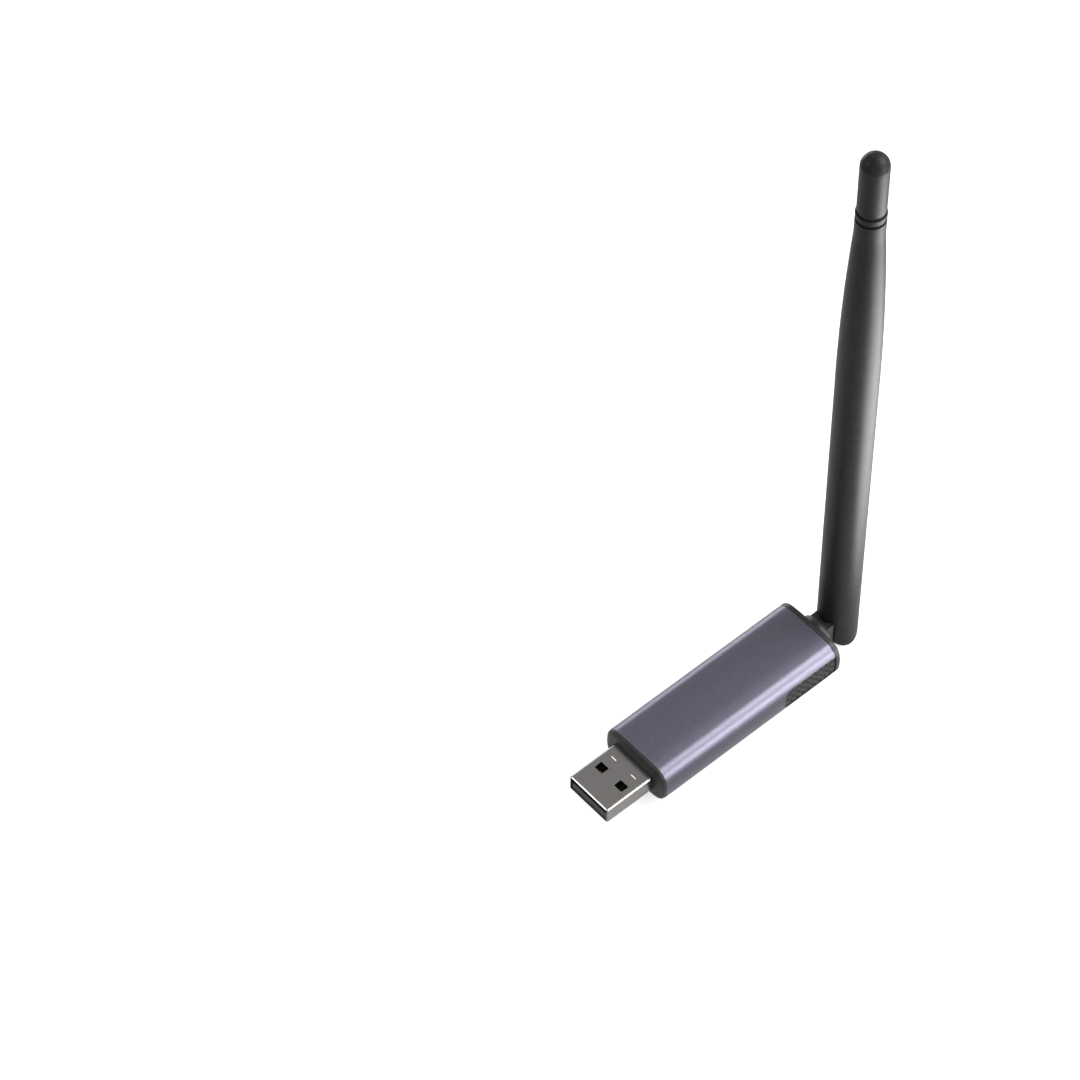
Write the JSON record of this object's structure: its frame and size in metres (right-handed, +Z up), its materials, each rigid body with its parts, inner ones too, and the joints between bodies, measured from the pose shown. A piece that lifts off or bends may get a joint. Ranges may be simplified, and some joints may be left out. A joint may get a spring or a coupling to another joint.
{
  "type": "smart home usb radio stick",
  "caption": "USB radio stick: a metal sleeve with plastic end caps, a standard USB-A plug at one end and a rod antenna on a fold and swivel hinge at the other.",
  "frame": {"origin": "centre of the plug's mouth", "axes": "+X runs from the plug to the antenna hinge, +Y is to the left of that direction, +Z is up along the raised antenna"},
  "size_m": [0.0769, 0.0186, 0.1548],
  "materials": {
    "sleeve_metal": "grey violet anodised, satin",
    "black_plastic": "black moulded, fine texture",
    "plug_steel": "plated, satin",
    "insulator_plastic": "black moulded",
    "contact_gold": "gold plated",
    "board_laminate": "green solder mask",
    "shield_tin": "tin plated",
    "chip_resin": "black resin",
    "crystal_metal": "plated lid",
    "capacitor_ceramic": "tan ceramic",
    "resistor_body": "dark film",
    "connector_gold": "gold plated",
    "lead_jacket": "black jacket",
    "clip_steel": "spring steel",
    "dipole_brass": "drawn brass",
    "radiator_copper": "bare copper",
    "spacer_plastic": "natural"
  },
  "bodies": {
    "housing": {"housing_sleeve": "sleeve_metal", "front_cap": "black_plastic", "rear_cap": "black_plastic", "usb_shell": "plug_steel", "usb_insulator": "insulator_plastic", "usb_contact_vbus": "contact_gold", "usb_contact_data_minus": "contact_gold", "usb_contact_data_plus": "contact_gold", "usb_contact_ground": "contact_gold", "circuit_board": "board_laminate", "shield_can": "shield_tin", "radio_chip": "chip_resin", "usb_bridge_chip": "chip_resin", "voltage_regulator": "chip_resin", "esd_array": "chip_resin", "power_inductor": "chip_resin", "radio_crystal": "crystal_metal", "capacitors": "capacitor_ceramic", "resistors": "resistor_body", "coax_receptacle": "connector_gold", "coax_plug": "connector_gold", "coax_lead": "lead_jacket"},
    "swivel_base": {"swivel_knuckle": "black_plastic", "retaining_clip": "clip_steel", "hinge_coax": "lead_jacket"},
    "antenna": {"antenna_fork": "black_plastic", "antenna_tube": "black_plastic", "antenna_cap": "black_plastic", "antenna_coax": "lead_jacket", "dipole_sleeve": "dipole_brass", "radiator_rod": "radiator_copper", "radiator_spacer": "spacer_plastic"}
  },
  "joints": [
    {"name": "antenna_swivel", "type": "hinge", "parent": "housing", "child": "swivel_base", "pos_m": [0.0645, 0, -0.0006], "axis": [1, 0, 0], "range_deg": [-160, 160]},
    {"name": "antenna_tilt", "type": "hinge", "parent": "swivel_base", "child": "antenna", "pos_m": [0.0723, 0, -0.0006], "axis": [0, 1, 0], "range_deg": [0, 90], "deforming": ["hinge_coax"]}
  ]
}
